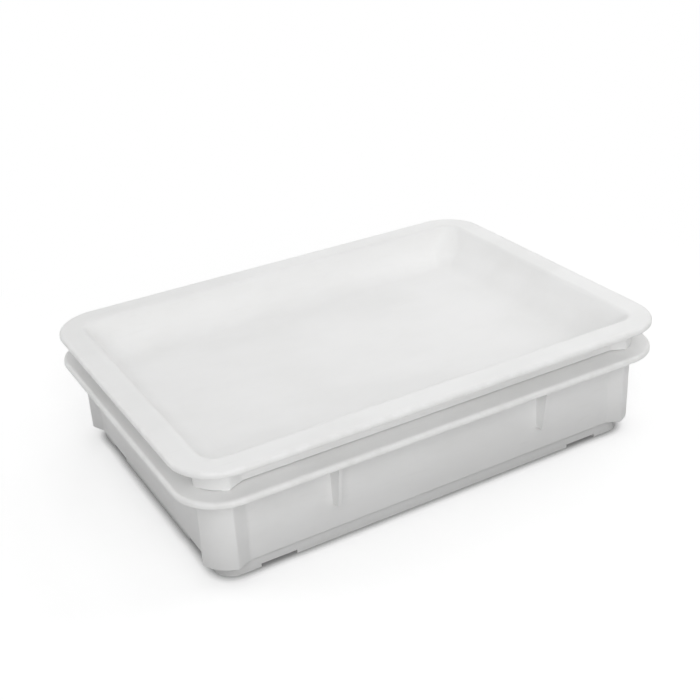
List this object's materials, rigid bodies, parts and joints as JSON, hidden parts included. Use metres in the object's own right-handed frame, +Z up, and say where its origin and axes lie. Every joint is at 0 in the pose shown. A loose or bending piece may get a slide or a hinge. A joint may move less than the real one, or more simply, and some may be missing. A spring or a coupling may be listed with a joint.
{
  "type": "dough proofing container",
  "caption": "Low rectangular moulded box with a wide rim, corner posts and a raised foot ring, closed by a lift-off tray lid with a sunken dish, for proofing dough.",
  "frame": {"origin": "centre of the footprint on the floor, in the plane of the feet", "axes": "+X along the long side, +Y along the short side to the back, +Z up through the lid"},
  "size_m": [0.45, 0.32, 0.111],
  "materials": {
    "box_plastic": "opaque white food-grade plastic, fine moulded satin",
    "lid_plastic": "opaque white food-grade plastic, fine moulded satin"
  },
  "bodies": {
    "box": {"dough_box": "box_plastic"},
    "lid": {"lid": "lid_plastic"}
  },
  "joints": [
    {"name": "lid_lift", "type": "slide", "parent": "box", "child": "lid", "axis": [0, 0, 1], "range_m": [0, 0.12]}
  ]
}
